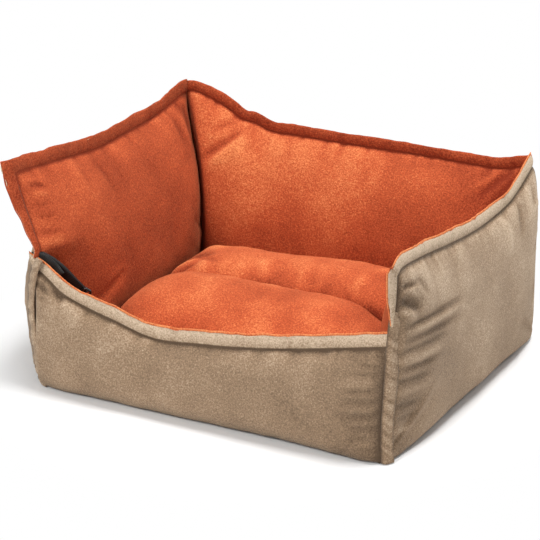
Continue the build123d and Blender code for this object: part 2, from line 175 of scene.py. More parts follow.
def ramp(tree, factor, stops):
    made = addNode(tree, "ValToRGB", [("Fac", factor)])
    elements = made.color_ramp.elements
    elements[0].position, elements[0].color = stops[0][0], colour(stops[0][1])
    elements[1].position, elements[1].color = stops[-1][0], colour(stops[-1][1])
    for place, code in stops[1:-1]:
        elements.new(place).color = colour(code)
    return made.outputs["Color"]


velourLook = dict(
    tuft=2.3,  # clumps of pile, drawn a little coarse so that they show
    brush=22.0,  # strokes left by hands in the pile
    patch=95.0,  # shaded and light areas where the pile leans another way
    pile=1.6,  # single tufts, for the relief alone
    tuftShare=1.2, brushShare=0.1, patchShare=0.12,  # how much each lightens or darkens
    darkest=0.32, lightest=1.16,  # the sums of the three at the ends of the colour ramp
    roughness=0.95, bump=1.0, relief=0.0012,
)


def velour(name, dark, middle, light, sheenTint, sheen):
    # Short-pile polyester velour: fine tufts that scatter light, brushed lighter and darker
    look = velourLook
    material, tree, shader = newMaterial(name, {
        "Roughness": look["roughness"], "Specular IOR Level": 0.15, "Sheen Weight": sheen,
        "Sheen Roughness": 0.45, "Sheen Tint": colour(sheenTint)})
    place = addNode(tree, "TexCoord").outputs["Object"]
    tuft = addNoise(tree, place, look["tuft"], 3.0, Roughness=0.65)
    brush = addNoise(tree, place, look["brush"], 2.0, Distortion=0.3)
    patch = addNoise(tree, place, look["patch"], 3.0, Distortion=0.4)
    total = addMath(tree, "MULTIPLY", brush, look["brushShare"])
    total = addMath(tree, "MULTIPLY_ADD", patch, look["patchShare"], total)
    total = addMath(tree, "MULTIPLY_ADD", tuft, look["tuftShare"], total)
    spread = addNode(tree, "MapRange", [
        ("Value", total), ("From Min", look["darkest"]), ("From Max", look["lightest"])])
    # the attribute read here is painted shade and painted light from the mesh: darker in dips,
    # creases and corners, lighter on rises and flanges; it moves the tone along the colour ramp
    foldAndPaintedShading = addNode(tree, "Attribute", attribute_name="foldAndPaintedShading").outputs["Fac"]
    shaded = addMath(tree, "ADD", foldAndPaintedShading, spread.outputs[0])
    tint = ramp(tree, shaded, [(0.0, dark), (0.5, middle), (1.0, light)])
    tree.links.new(tint, shader.inputs["Base Color"])
    pile = addNoise(tree, place, look["pile"], 2.0)
    addBump(tree, shader, addMath(tree, "ADD", pile, tuft), look["bump"], look["relief"])
    return material


innerVelour = velour("burntOrangeVelour", "#84311b", "#c55c36", "#f59f64", "#ffbd86", 0.18)
outerVelour = velour("taupeVelour", "#645140", "#9b8167", "#d6bfa5", "#f7e8d4", 0.35)


def metal(name, code, grainSize, roughness, metallic=0.0, relief=0.0):
    material, tree, shader = newMaterial(name, {
        "Base Color": colour(code), "Metallic": metallic})
    grain = addNoise(tree, addNode(tree, "TexCoord").outputs["Object"], grainSize, 2.0)
    rough = addNode(tree, "MapRange", [
        ("Value", grain), ("To Min", roughness[0]), ("To Max", roughness[1])])
    tree.links.new(rough.outputs[0], shader.inputs["Roughness"])
    if relief:
        addBump(tree, shader, grain, relief, 0.0001)
    return material


def wovenStrap(name):
    # Black polyester webbing: ribs across it, with a faint shine on each rib, partly a painted
    # highlight on the crest and partly real gloss on its bump
    ribPitch = 1.6
    material, tree, shader = newMaterial(name, {
        "Roughness": 0.6, "Specular IOR Level": 0.3, "Sheen Weight": 0.05})
    place = addNode(tree, "UVMap", uv_map="strap").outputs["UV"]
    ribs = addNode(tree, "TexWave", [
        ("Vector", place), ("Scale", 1000 / ribPitch / 6.28), ("Distortion", 0.4),
        ("Detail", 1.0)], bands_direction="X").outputs["Fac"]
    tint = ramp(tree, ribs, [(0.0, "#050404"), (1.0, "#1a1512")])
    tree.links.new(tint, shader.inputs["Base Color"])
    addBump(tree, shader, ribs, 0.5, 0.0004)
    return material


def gripCloth(name):
    # Dark non-slip cloth: fine weave with small raised rubber dots
    dotPitch, weaveSize = 6, 1.2
    material, tree, shader = newMaterial(name, {"Roughness": 0.8})
    place = addNode(tree, "TexCoord").outputs["Object"]
    dots = addNode(tree, "TexVoronoi", [
        ("Vector", place), ("Scale", 1000 / dotPitch), ("Randomness", 0.0)],
        voronoi_dimensions="2D")
    dot = addNode(tree, "MapRange", [
        ("Value", dots.outputs["Distance"]), ("From Min", 0.22), ("From Max", 0.3),
        ("To Min", 1.0), ("To Max", 0.0)]).outputs[0]
    weave = addNoise(tree, place, weaveSize, 3.0)
    tint = ramp(tree, weave, [(0.3, "#2b231e"), (0.7, "#4a3d34")])
    mixed = addNode(tree, "Mix", [(0, dot), (6, tint), (7, colour("#1a1614"))],
                    data_type="RGBA")
    tree.links.new(mixed.outputs[2], shader.inputs["Base Color"])
    addBump(tree, shader, addMath(tree, "ADD", dot, weave), 0.4, 0.0005)
    return material


# Zinc casting under a gloss black coat, and drawn spring wire
blackCoat = metal("glossBlackCoat", "#0d0c0c", 1.5, (0.2, 0.36), relief=0.1)
wireSteel = metal("springSteel", "#b9bcc0", 0.4, (0.25, 0.4), metallic=1.0)
blackWebbing = wovenStrap("blackWebbing")
underCloth = gripCloth("nonSlipCloth")
print("materials made")

# Cloth that is sewn along its edges and filled

fillFrames = 18
fillSettings = dict(
    quality=5, mass=0.2, tension_stiffness=18.0, compression_stiffness=18.0, shear_stiffness=4.0,
    bending_stiffness=0.35, air_damping=3.0, use_pressure=True, uniform_pressure_force=3.2)


def inflate(name, panels, cuts, helds, cap, **changed):  # no point moves further than cap
    bm = bmesh.new()
    for panel in panels:
        addGrid(bm, panel)
    bm.normal_update()
    piece = meshObject(bm, name)
    mesh = piece.data
    held = np.concatenate([h.reshape(-1) for h in helds])
    group = piece.vertex_groups.new(name="seam")
    group.add([int(i) for i in np.nonzero(held)[0]], 1.0, "REPLACE")
    piece.shape_key_add(name="Basis")
    cutKey = piece.shape_key_add(name="cut")
    flat = np.concatenate([c.reshape(-1, 3) for c in cuts]) * 0.001
    cutKey.data.foreach_set("co", flat.reshape(-1))
    cutKey.value = 0.0
    cloth = piece.modifiers.new("cloth", "CLOTH")
    fabric = cloth.settings
    for key, value in dict(fillSettings, **changed).items():
        setattr(fabric, key, value)
    fabric.vertex_group_mass = "seam"
    fabric.rest_shape_key = cutKey
    fabric.effector_weights.gravity = 0.0
    cloth.collision_settings.use_collision = False
    cloth.point_cache.frame_end = fillFrames
    for number in range(1, fillFrames + 1):
        scene.frame_set(number)
    shown = piece.evaluated_get(bpy.context.evaluated_depsgraph_get()).to_mesh()
    moved = np.empty(len(shown.vertices) * 3)
    shown.vertices.foreach_get("co", moved)
    moved = moved.reshape(-1, 3) * 1000
    scene.frame_set(1)
    bpy.data.objects.remove(piece)
    bpy.data.meshes.remove(mesh)
    results, first = [], 0
    for panel in panels:
        count = panel.shape[0] * panel.shape[1]
        change = moved[first:first + count].reshape(panel.shape) - panel
        size = np.linalg.norm(change, axis=-1, keepdims=True)
        results.append(panel + change * cap * np.tanh(size / cap) / np.maximum(size, 1e-6))
        first += count
    return results


# Walls: each is a pillow, an orange lining and a taupe cover sewn along the top into a flange

halfWidth, halfDepth = 300, 250  # of the bed, at its seams
floorTop = 17.0
wallLook = dict(
    spacing=6.5, flange=20.0, flangeRows=7, liningRise=3.0, outerSwell=22.0, puff=1.9,
    # the last three set painted shade along each seam's crease and painted light and shade across
    # the flanges, from seam to edge
    thickness=1.5, fillCap=13.0, crease=-0.85, paintedCoverFlangeLight=(0.2, 0.48), paintedLiningFlangeShade=(-0.34, -0.16))
wallRelief = dict(  # how far each kind of unevenness lifts the cloth, and its size
    puckers=1.5, lumps=1.6, lumpSize=70.0, dimples=0.5, dimpleSize=26.0, endPulls=1.8,
    endPitch=11.0, footPuckers=0.9, footPitch=12.0, freeEndSwell=8)
sideWall = dict(swell=72, thickest=98, freeEnd=0, open=False)  # what most of the walls share
frontEndShares = ((0, 0.0), (8, 0.4), (25, 0.72), (60, 0.95), (110, 1.0))
backEndShares = ((0, 0.4), (10, 0.62), (28, 0.86), (60, 0.98), (110, 1.0))

wallTable = {
    "left": dict(
        sideWall, middle=(-halfWidth, 0), run=(0, -1), inward=(1, 0), half=halfDepth,
        seam=((-250, 304), (-238, 306), (-212, 304), (-172, 300), (-131, 297), (-53, 299),
              (23, 301), (139, 319), (223, 331), (250, 334)),
        swells=((-250, 0), (-238, 0.26), (-215, 0.6), (-178, 0.9), (-130, 0.99), (-60, 1), (60, 1),
                (138, 0.92), (220, 0.3), (240, 0.12), (250, 0)),
        leans=(1.0, 0.67), freeEnd=1, bend=-0.42,
        endWidth=((0, 7), (205, 7), (235, 10), (270, 14), (315, 19), (400, 20))),
    "back": dict(
        sideWall, middle=(0, halfDepth), run=(-1, 0), inward=(0, -1), half=halfWidth,
        flange=14.5,
        seam=((-300, 284), (-289, 281), (-248, 271), (-198, 270), (-113, 270), (-9, 267),
              (97, 266), (158, 268), (172, 274), (195, 276), (231, 294), (267, 307),
              (288, 310), (300, 308)),
        swells=((-300, 0), (-285, 0.42), (-250, 0.78), (-200, 0.96), (-100, 1), (100, 1),
                (215, 1.0), (262, 0.86), (287, 0.5), (300, 0)),
        leans=(1.0, 1.0)),
    "right": dict(
        sideWall, middle=(halfWidth, 0), run=(0, 1), inward=(-1, 0), half=halfDepth,
        seam=((-250, 286), (-246, 289), (-238, 292), (-222, 291), (-179, 284), (-112, 273),
              (-44, 262), (62, 250), (130, 250), (171, 253), (208, 264), (250, 282)),
        swells=((-250, 0), (-240, 0.12), (-220, 0.3), (-138, 0.92), (-60, 1), (100, 1),
                (180, 0.95), (215, 0.75), (238, 0.4), (250, 0)),
        leans=(0.67, 1.0), freeEnd=-1, bend=0.3, roundEnd=True, brightEdge=True,
        endWidth=((0, 4), (214, 5), (232, 10), (250, 15), (270, 17), (400, 18))),
    "front": dict(
        sideWall, middle=(0, -halfDepth), run=(1, 0), inward=(0, 1), half=halfWidth,
        swell=60, thickest=66, open=True, brightEdge=True,
        seam=((-300, 190), (-280, 178), (-251, 158), (-203, 143), (-144, 129), (-85, 115),
              (-1, 121), (82, 132), (195, 154), (300, 177)),
        swells=((-300, 0), (-287, 0.4), (-262, 0.7), (-220, 0.93), (-150, 1), (150, 1),
                (220, 0.93), (262, 0.7), (287, 0.4), (300, 0)),
        leans=(1.48, 1.48)),
}


def onWall(wall, run, depth, height):  # from run, depth and height to the bed's frame
    middle, along, inward = wall["middle"], wall["run"], wall["inward"]
    return np.stack([
        middle[0] + along[0] * run + inward[0] * depth,
        middle[1] + along[1] * run + inward[1] * depth,
        height + 0 * run], axis=-1)


def upright(thickest, end, count):  # an arc from end to the thickest place, upright there
    run = max(abs(thickest[0] - end[0]), 0.3)
    side = 1 if thickest[0] >= end[0] else -1
    rise = end[1] - thickest[1]
    radius = (run * run + rise * rise) / (2 * run)
    angle = math.atan2(rise, radius - run)
    turn = np.linspace(angle, 0, count)
    return np.stack([thickest[0] + side * (radius * np.cos(turn) - radius),
                     thickest[1] + radius * np.sin(turn)], axis=-1)


def travelled(path):  # how far along the path each of its points lies
    steps = np.linalg.norm(np.diff(path, axis=0), axis=1)
    return np.concatenate([[0], np.cumsum(steps)])


def evenly(path, count):
    total = travelled(path)
    at = np.linspace(0, total[-1], count)
    return np.stack([np.interp(at, total, row) for row in path.T], axis=-1)


def rollIn(swell, low, high, fullness, count):  # from the thickest place up to the seam
    share = np.sin(np.linspace(0, math.pi / 2, count))
    return np.stack([swell * (1 - share ** 2.3) ** fullness, low + (high - low) * share], axis=-1)


def liningPath(wall, run, seam, count):
    swell = max(through(wall["swells"], run), 0.02) * wall["swell"]
    start = (0.6, floorTop + 0.4)
    foot = (max(0.62 * swell, start[0]), start[1])
    lower = upright((swell, wall["thickest"]), foot, 24)
    upper = rollIn(swell - 0.9, wall["thickest"], seam, 0.66, 48) + (0.9, 0)
    return evenly(np.concatenate([[start], lower, upper[1:]]), count)


def coverPath(wall, run, seam, count):
    near = wall["half"] - abs(run)
    shares = frontEndShares if wall["open"] or run * wall["freeEnd"] > 0 else backEndShares
    swell = max(float(through(shares, min(near, 109))), 0.02) * wallLook["outerSwell"]
    rise = seam - floorTop
    shoulder = seam - min(0.4 * rise, 75)
    toe = 16 + 0.13 * rise
    turn = np.linspace(-math.pi / 2, 0, 24)
    under = 0.45 * swell  # how far the cover lies on the floor before it turns up
    lower = np.stack([-under - (swell - under) * np.cos(turn) ** 0.8,
                      1.2 + (toe - 1.2) * (1 + np.sin(turn))], axis=-1)
    upper = rollIn(swell - 0.9, shoulder, seam, 0.62, 40) * (-1, 1) - (0.9, 0)
    return evenly(np.concatenate([[[4.0, 3.4], [-0.3 * under, 1.4]], lower, upper]), count)


def foldRise(run, height, folds):  # how far the sculpted folds lift each point
    total = np.zeros(np.shape(run))
    for startRun, startHeight, endRun, endHeight, width, rise in folds:
        along = np.array([endRun - startRun, endHeight - startHeight], float)
        length = np.linalg.norm(along)
        along /= length
        place = (run - startRun) * along[0] + (height - startHeight) * along[1]
        aside = (run - startRun) * -along[1] + (height - startHeight) * along[0]
        fade = ease(place, -width, length * 0.25) * (1 - ease(place, length * 0.55, length + width))
        total += rise * fade * np.exp(-(aside / width) ** 2)
    return total


wallFolds = {
    # start run, start height, end run, end height, width and rise, on the wall's own face
    "backLining": (
        (186, 266, 250, 214, 6, -4.5), (180, 256, 232, 205, 10, 3.5), (206, 276, 236, 262, 5, -2),
        (-272, 274, -225, 228, 6, -3), (-282, 266, -245, 212, 6, -2.6),
        (-252, 268, -215, 240, 5, 2), (-60, 262, -52, 215, 12, 1.2), (110, 262, 96, 235, 6, -1.2),
    ),
    "leftLining": (
        (-222, 300, -205, 240, 6, -3), (-196, 292, -184, 232, 7, 2),
        (-176, 292, -168, 250, 6, -1.8), (66, 297, 58, 250, 7, -1.4), (120, 305, 112, 262, 7, -1.4),
        (238, 312, 200, 300, 4, -3), (236, 300, 208, 294, 4, 1.6), (236, 214, 196, 209, 4, -2.6),
        (237, 226, 204, 222, 4, 1.6), (237, 240, 200, 238, 4, -2), (236, 265, 205, 262, 5, -1.8),
        (236, 282, 210, 278, 4, -1.6),
    ),
    "rightCover": (
        *((-248, *foldAndPaintedShading) for foldAndPaintedShading in (  # from the seam at the front corner
            (268, -196, 262, 4, -4.8), (250, -196, 222, 8, -8.0), (238, -206, 205, 5, 3.2),
            (208, -30, 186, 6, -3.8), (198, -60, 178, 5, 2.6), (186, -50, 164, 6, -3.5),
            (170, -90, 152, 5, -2.9), (154, -110, 138, 6, 2.6), (142, -120, 126, 5, -2.9),
            (122, -150, 110, 5, -2.6), (104, -160, 94, 5, 2.2), (84, -175, 74, 5, -2.2),
            (62, -180, 56, 4, -2.2), (42, -190, 40, 4, 2.2))),
        (-200, 268, -170, 235, 6, -2.6), (130, 238, 122, 190, 8, 2.2),
        (185, 250, 168, 200, 7, -2.6), (215, 266, 202, 215, 6, 2.2),
        (236, 275, 226, 225, 5, -2.6),
    ),
    "frontCover": (
        (297, 150, 250, 147, 3.5, -2), (297, 138, 232, 132, 4, -1.8), (297, 124, 222, 116, 4, 1.4),
        (297, 112, 240, 108, 3.5, -1.8), (297, 98, 230, 90, 4, -1.6), (297, 84, 246, 80, 3.5, 1.4),
        (297, 72, 236, 66, 4, -1.6), (297, 56, 250, 50, 3.5, -1.4), (290, 40, 244, 30, 4, -1.4),
        (-262, 160, -236, 146, 6, -3), (-292, 166, -262, 150, 5, -3), (-296, 150, -262, 140, 4, -2),
        (-240, 148, -200, 128, 8, 1.6),
    ),
}
paintedWallShading = {
    # painted light and shade, lighter or darker, by run and by height
    "leftLining": (((-250, -0.16), (0, -0.2), (250, -0.08)), ((20, 0), (300, 0))),
    "backLining": (((-300, -0.24), (-150, -0.14), (0, 0.03), (250, 0.1), (300, 0.1)),
                   ((20, -0.2), (120, -0.13), (200, 0.02), (300, -0.06))),
    "rightCover": (((-250, -0.04), (0, 0), (250, 0.04)),
                   ((0, 0), (120, 0), (200, 0.08), (280, 0.16))),
    "frontCover": (((-300, 0.02), (120, -0.05), (300, -0.16)),
                   ((0, -0.06), (60, -0.02), (150, 0))),
}


def sewnPuckers(run, away, seed, depth):  # short gathers where the cloth meets a seam
    pull = ripple(run, 9.0, seed) + 0.7 * ripple(run, 17.0, seed + 1)
    fade = np.exp(-away / 13.0) * ease(away, 0.0, 5.0)
    wide = 1.3 * ripple(run + 0.25 * away, 34.0, seed + 2)
    wide = wide * np.exp(-away / 42.0) * ease(away, 0, 18)
    return depth * (pull * fade * 1.6 + wide)


def buildPillow(name):
    wall = wallTable[name]
    half = wall["half"]
    columns = int(round(2 * half / wallLook["spacing"])) + 1
    runs = np.linspace(-half, half, columns)
    seams = through(wall["seam"], runs)
    middleSeam = float(np.mean(seams))
    liningRows = int(round((middleSeam - floorTop + 0.9 * wall["swell"]) / wallLook["spacing"]))
    coverRows = int(round((middleSeam - floorTop + 24) / wallLook["spacing"]))
    panels, cuts, helds = [], [], []
    for path, rows in ((liningPath, liningRows), (coverPath, coverRows)):
        section = np.array([path(wall, run, seam, rows) for run, seam in zip(runs, seams)])
        depth, height = section[..., 0].T, section[..., 1].T
        spread = np.broadcast_to(runs, depth.shape)
        if path is coverPath:  # the covers meet on the slant at the back corners
            spread = spread + np.sign(runs) * np.maximum(-depth, 0) * np.clip(
                1 - (half - np.abs(runs)) / 60, 0, 1)
        panels.append(onWall(wall, spread, depth, height))
        fromTop = (np.arange(rows)[::-1] * wallLook["spacing"])[:, None]
        eased = 1 + 0.05 * np.exp(-fromTop / 38) + 0.03 * np.exp(-fromTop[::-1] / 30)
        cuts.append(onWall(wall, spread * eased, depth * 1.02, height * 1.012))
        held = np.ones(depth.shape, bool)
        held[1:-1, 1:-1] = False
        helds.append(held)
    for pair in (panels, cuts, helds):  # the lining faces the other way
        pair[0] = pair[0][:, ::-1]
    lining, cover = inflate(name + "Pillow", panels, cuts, helds, wallLook["fillCap"])
    return wall, finer(lining[:, ::-1]), finer(cover)


def wallLocal(wall, points):  # back from the bed's frame to run, depth and height
    middle, along, inward = (np.array(wall[k], float) for k in ("middle", "run", "inward"))
    flat = points[..., :2] - middle
    return flat @ along, flat @ inward, points[..., 2]


def fromEnd(wall, run, end):  # how far each point is from that end of the wall
    return np.clip(wall["half"] - end * run, 0, 400)


def dressWall(name, seed):
    wall, lining, cover = buildPillow(name)
    half, look = wall["half"], wallRelief
    pieces = []
    for kind, points, sign in (("Lining", lining, 1), ("Cover", cover, -1)):
        run, depth, height = wallLocal(wall, points)
        steps = np.linalg.norm(np.diff(points, axis=0), axis=-1)
        # away is how far each point lies below the seam, along the cloth
        away = np.concatenate([np.cumsum(steps[::-1], axis=0)[::-1], np.zeros((1, run.shape[1]))])
        fromFoot = away[0] - away
        fromEnds = np.clip(half - np.abs(run), 0, 400)
        normal = gridNormals(points)
        facing = normal @ np.array([*wall["inward"], 0.0])
        normal *= np.sign(np.median(facing)) * sign
        bump = sewnPuckers(run, away, seed * 10 + (3 if sign > 0 else 6), look["puckers"])
        bump += foldRise(run, height, wallFolds.get(name + kind, ()))
        lumps = look["lumps"] * cloudy(points, look["lumpSize"], seed) * ease(away, 5, 40)
        dimples = look["dimples"] * cloudy(points, look["dimpleSize"], seed + 2)
        bump += lumps + dimples * ease(away, 3, 20)
        endPull = ripple(height + 0.15 * fromEnds, look["endPitch"], seed + 31)
        endPull = endPull * np.exp(-fromEnds / 26.0)
        bump += look["endPulls"] * endPull * ease(fromEnds, 0, 6)
        foot = look["footPuckers"] * ripple(run, look["footPitch"], seed + 55)
        bump += foot * np.exp(-fromFoot / 14.0) * ease(fromFoot, 0, 6)
        bump *= ease(away, 0, 4) * ease(fromEnds, 0, 9)
        # painted shade in the dips of the relief and painted light on its rises
        foldAndPaintedShading = np.clip(bump / 10.0, -0.4, 0.16)
        # painted light and shade along each wall and up it
        if name + kind in paintedWallShading:
            alongMarks, upMarks = paintedWallShading[name + kind]
            foldAndPaintedShading = foldAndPaintedShading + through(alongMarks, run) + through(upMarks, height)
        if sign > 0 and wall["freeEnd"]:  # above the front wall the free end is fuller
            ends = fromEnd(wall, run, wall["freeEnd"])
            fuller = (1 - np.exp(-ends / 9)) * np.exp(-(ends / 60) ** 2)
            fuller = look["freeEndSwell"] * fuller
            bump = bump + fuller * ease(height, 188, 230) * ease(away, 2, 26)
        for end in (-1, 1):  # painted shade where the cloth turns in at the corners
            ends = fromEnd(wall, run, end)
            if sign > 0 and end != wall["freeEnd"]:
                crease = ends - np.clip(depth, 0, 90) * 0.9
                foldAndPaintedShading = foldAndPaintedShading - 0.75 * np.exp(-np.abs(crease) / 5.0) * ease(away, 0, 12)
            # and painted shade along the cover's open end
            elif sign < 0 and (wall["open"] or end == wall["freeEnd"]):
                dark = 0.15 if wall["open"] and end < 0 else 0.8
                foldAndPaintedShading = foldAndPaintedShading - dark * np.exp(-ends / 4.0)
        if sign < 0:  # and painted shade where the cover meets the ground
            foldAndPaintedShading = foldAndPaintedShading - 0.5 * np.exp(-np.clip(height, 0, 400) / 7.0)
        points = points + normal * bump[..., None]
        run, depth, height = wallLocal(wall, points)
        if sign > 0:
            for end, lean in ((-1, wall["leans"][0]), (1, wall["leans"][1])):
                room = lean * (half - end * run) - 0.5
                depth = np.minimum(depth, np.maximum(room, 0.9))
            height = np.maximum(height, floorTop + 0.4)
        else:
            for end in (-1, 1):
                if wall["open"] or end == wall["freeEnd"]:
                    room = 1.1 * (half - end * run) + 1.0
                    depth = np.maximum(depth, -np.maximum(room, 1.2))
            height = np.maximum(height, 0.9)
        pieces.append((kind, sign, run, depth, height, foldAndPaintedShading))
    return wall, pieces


def puffed(share):  # the flange's own fullness, from its seam (0) to its edge (1)
    return wallLook["puff"] * math.sin(math.pi * min(share * 1.1, 1)) ** 0.7


def addFlange(wall, seed, sign, run, depth, height, foldAndPaintedShading):  # the sewn edges, on all sides
    count = wallLook["flangeRows"]
    lining = sign > 0
    reach = wall.get("flange", wallLook["flange"]) + (wallLook["liningRise"] if lining else 0)
    topRun, topHeight = run[-1], height[-1]
    end = wall["freeEnd"]
    fromEnds = wall["half"] - np.abs(topRun)
    slope = np.gradient(topHeight, topRun)
    square = ease(fromEnds, 4, 30)
    if wall.get("roundEnd"):
        square = np.where(topRun * end > 0, 1.0, square)
    angle = np.arctan2(1.0, -slope * square)  # of the flange, from along the run to upright
    wave = 1.8 * ripple(topRun, 46, seed + 71) + 0.8 * ripple(topRun, 15, seed + 72)
    edge = 1.0 + 0.06 * ripple(topRun, 27, seed + 73) + 0.03 * ripple(topRun, 9, seed + 74)
    tuck = ripple(topRun, 21, seed + 76) ** 3  # where the flange was folded over itself
    # painted light and shade across the flange, from its seam to its edge
    paintedFlangeShading = wallLook["paintedLiningFlangeShade"] if lining else wallLook["paintedCoverFlangeLight"]
    rows = []
    # on these walls the lining flange's edge gets painted light
    if lining and wall.get("brightEdge"):
        paintedFlangeShading = (paintedFlangeShading[0], 0.3)
    for number in range(1, count + 1):
        share = number / count
        up = reach * edge * share
        lean = wave * share ** 1.5 + sign * (0.8 + puffed(share))
        lean = lean + 0.6 * ripple(topRun + 4 * share, 7.5, seed + 75) * math.sin(math.pi * share)
        lean = lean + sign * 0.9 * tuck * share
        # the last value of each row is painted shading across the flange, with painted shade in the
        # tucks
        rows.append((topRun + up * np.cos(angle), lean, topHeight + up * np.sin(angle),
                     0 * topRun + paintedFlangeShading[0] + (paintedFlangeShading[1] - paintedFlangeShading[0]) * share - 0.12 * np.abs(tuck)))
    grids = [np.concatenate([a, [r[i] for r in rows]])
             for i, a in enumerate((run, depth, height, foldAndPaintedShading))]
    crease = len(run) - 1
    # painted shade along the crease of the seam and beside it
    grids[3][crease] = wallLook["crease"]
    grids[3][crease - 1] = grids[3][crease - 1] * 0.5 + 0.35 * wallLook["crease"]
    if not end:
        return grids
    return addEndFlange(wall, seed, sign, grids, crease, angle, reach, paintedFlangeShading)


def addEndFlange(wall, seed, sign, grids, crease, angle, reach, paintedFlangeShading):  # down the open front end
    end, count, aside = wall["freeEnd"], wallLook["flangeRows"], wall["bend"]
    if end < 0:
        grids = [a[:, ::-1] for a in grids]
        angle = angle[::-1]
    run, depth, height, _ = grids
    side, level = run[:, -1], height[:, -1]
    width = through(wall["endWidth"], np.clip(level, 0, 400)) * reach / wallLook["flange"]
    topAngle = angle[-1] if end > 0 else math.pi - angle[-1]
    turned = 0.0
    if wall.get("roundEnd"):
        turned = (topAngle - 0.5) * ease(level, level[crease] - 28, level[crease])
    wave = 1.5 * ripple(level, 38, seed + 81) + 0.7 * ripple(level, 14, seed + 82)
    tuck = ripple(level, 17, seed + 86) ** 3
    sets = []
    for number in range(1, count + 1):
        share = number / count
        out = width * share * (1 + 0.05 * ripple(level, 22, seed + 83)) * np.cos(turned)
        rise = width * share * np.sin(turned)
        lean = wave * share + sign * (0.8 + puffed(share) + 0.9 * tuck * share)
        lean = lean + 0.5 * ripple(level + 5 * share, 8, seed + 84) * math.sin(math.pi * share)
        # the last value is painted shading across the end flange, with painted shade in its tucks
        sets.append([side + end * out * math.sqrt(1 - aside ** 2),
                     depth[:, -1] + out * aside + lean - sign * 0.8, level + rise,
                     0 * level + paintedFlangeShading[0] + (paintedFlangeShading[1] - paintedFlangeShading[0]) * share - 0.15 * np.abs(tuck)])
    if wall.get("roundEnd"):  # the corner of the flange is a fan about the end of the seam
        for a, made in enumerate(sets, 1):
            for b in range(1, count + 1):
                row = crease + b
                t = 0.5 * b / a if a >= b else 1 - 0.5 * a / b
                turn = turned[crease] + (topAngle - turned[crease]) * t
                far = max(a, b) / count * width[crease]
                made[0][row] = side[crease] + end * far * math.cos(turn) * math.sqrt(1 - aside ** 2)
                puff = sign * wallLook["puff"] * math.sin(math.pi * max(a, b) / count) * 0.8
                made[1][row] = depth[crease, -1] + far * math.cos(turn) * aside + puff
                made[2][row] = level[crease] + far * math.sin(turn)
    grids = [np.concatenate([a, np.stack([s[i] for s in sets], axis=1)], axis=1)
             for i, a in enumerate(grids)]
    edge = run.shape[1] - 1
    # painted shade along the crease down the end seam and beside it
    grids[3][:crease + 1, edge] = wallLook["crease"]
    beside = grids[3][:crease + 1, edge - 1]
    grids[3][:crease + 1, edge - 1] = beside * 0.5 + 0.3 * wallLook["crease"]
    if end < 0:
        grids = [a[:, ::-1] for a in grids]
    return grids


# the side the corner is on, how far the pull reaches, then height, across and back
rightPull = (1, 80, ((0, 0, -9), (15, -3, -5), (40, -6, 0), (110, -4, 3), (205, 4, 7),
                     (250, 8, 9), (320, 8, 10)))
cornerPull = {
    "left": ((-1, 75, ((0, 26, 2), (15, 18, 2), (40, 14, 3), (185, 14, 3), (215, 26, 3),
                       (248, 17, 2), (290, 3, 0), (335, -9, -2), (360, -12, -4))),),
    "right": (rightPull,),
    "front": ((-1, 75, ((0, 26, 0), (15, 18, 1), (40, 14, 3), (185, 14, 3), (215, 9, 2))),
              rightPull),
}


def pulled(points, name):  # the front corners lean as they do where the side walls are sewn
    points = points.copy()
    for side, reach, marks in cornerPull.get(name, ()):
        away = np.hypot(points[..., 0] - side * halfWidth, points[..., 1] + halfDepth)
        weight = np.exp(-(away / reach) ** 2)
        height = np.clip(points[..., 2], 0, marks[-1][0])
        points[..., 0] += weight * through([(h, x) for h, x, _ in marks], height)
        points[..., 1] += weight * through([(h, y) for h, _, y in marks], height)
    return points


def panelPiece(name, body, material, points, foldAndPaintedShading, outward, cut=None,
               thickness=wallLook["thickness"]):
    bm = bmesh.new()
    layer = bm.verts.layers.float.new("foldAndPaintedShading")
    verts = addGrid(bm, points)
    for vertex, value in zip(verts, foldAndPaintedShading.reshape(-1)):
        vertex[layer] = float(value)
    bm.normal_update()
    facing = sum((face.normal for face in bm.faces), Vector())
    if facing.dot(Vector(outward)) < 0:
        bmesh.ops.reverse_faces(bm, faces=bm.faces[:])
    if cut:
        gone = [face for face in bm.faces
                if cut(*min(divmod(v.index, points.shape[1]) for v in face.verts))]
        bmesh.ops.delete(bm, geom=gone, context="FACES")
    return finish(bm, name, body, material, thickness)


hookRoom = dict(nodes=("snap_hook", "hook_gate", "gate_pin", "gate_spring"), margin=1.6,
                least=4.0, steps=12)


def clearOfHook(points):  # the front lining sinks in where the hook turns in its eye
    joint = next(j for j in frame["joints"] if j["name"] == "hook_swivel")
    start, toward = np.array(joint["pos_m"]) * 1000, np.array(joint["axis"])
    parts = [frame["nodes"][node] for node in hookRoom["nodes"]]
    solid = np.concatenate([[(p.matrix_world @ v.co)[:] for v in p.data.vertices] for p in parts])
    solid = solid * 1000 - start
    along = solid @ toward
    out = np.linalg.norm(solid - along[:, None] * toward, axis=1)
    places = np.linspace(along.min(), along.max(), hookRoom["steps"])
    step = places[1] - places[0]
    marks = [(at, out[np.abs(along - at) <= 2 * step].max(initial=hookRoom["least"])
              + hookRoom["margin"]) for at in places]
    marks = [(marks[0][0] - step, 0.0), *marks, (marks[-1][0] + step, 0.0)]
    points = points.copy()
    for _ in range(3):
        here = points - start
        radius = through(marks, np.clip(here @ toward, marks[0][0], marks[-1][0]))
        # where the line through the point, from front to back, enters the turning circle
        flat = here * (1, 0, 1)
        a = 1 - toward[1] ** 2
        b = -(flat @ toward) * toward[1]
        c = np.sum(flat ** 2, axis=-1) - (flat @ toward) ** 2 - radius ** 2
        inside = b * b - a * c
        enters = start[1] + (-b - np.sqrt(np.maximum(inside, 0))) / a
        points[..., 1] = np.where(inside > 0, np.minimum(points[..., 1], enters), points[..., 1])
    return points


